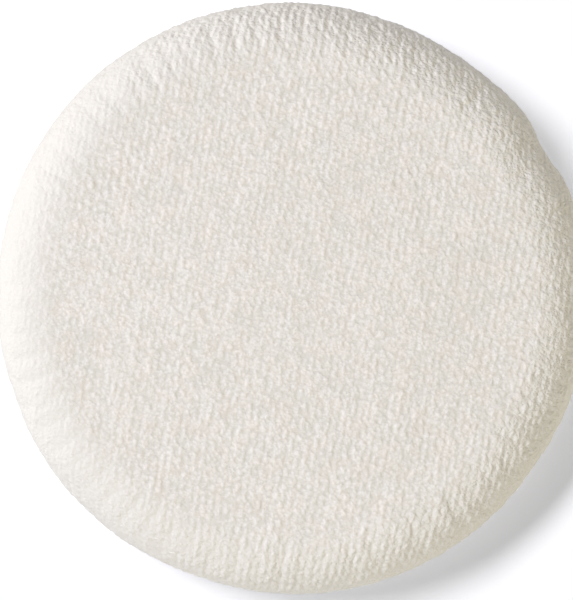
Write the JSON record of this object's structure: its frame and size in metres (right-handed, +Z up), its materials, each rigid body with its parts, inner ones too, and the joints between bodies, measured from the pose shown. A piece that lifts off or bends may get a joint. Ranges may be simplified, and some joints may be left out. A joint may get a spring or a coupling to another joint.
{
  "type": "powder puff",
  "caption": "Round crowned velour powder puff: two rolled covers sewn together over a foam disc, with a satin finger ribbon across the flat back.",
  "frame": {"origin": "on the surface that the puff lies on, under the middle of the disc", "axes": "+Z up out of the powdering face, +X along the finger ribbon, +Y across it"},
  "size_m": [0.06, 0.06, 0.009],
  "materials": {
    "velour": "off-white knitted velour, short dense pile over a fine rib",
    "foam": "open-cell foam, cream",
    "satin": "ivory satin ribbon with woven edges",
    "thread": "spun sewing thread, ivory"
  },
  "bodies": {
    "root": {"front_cover": "velour", "back_cover": "velour", "foam_core": "foam", "ribbon_band": "satin", "seam_thread": "thread", "closing_thread": "thread", "ribbon_tack_left": "thread", "ribbon_tack_right": "thread"}
  },
  "joints": []
}
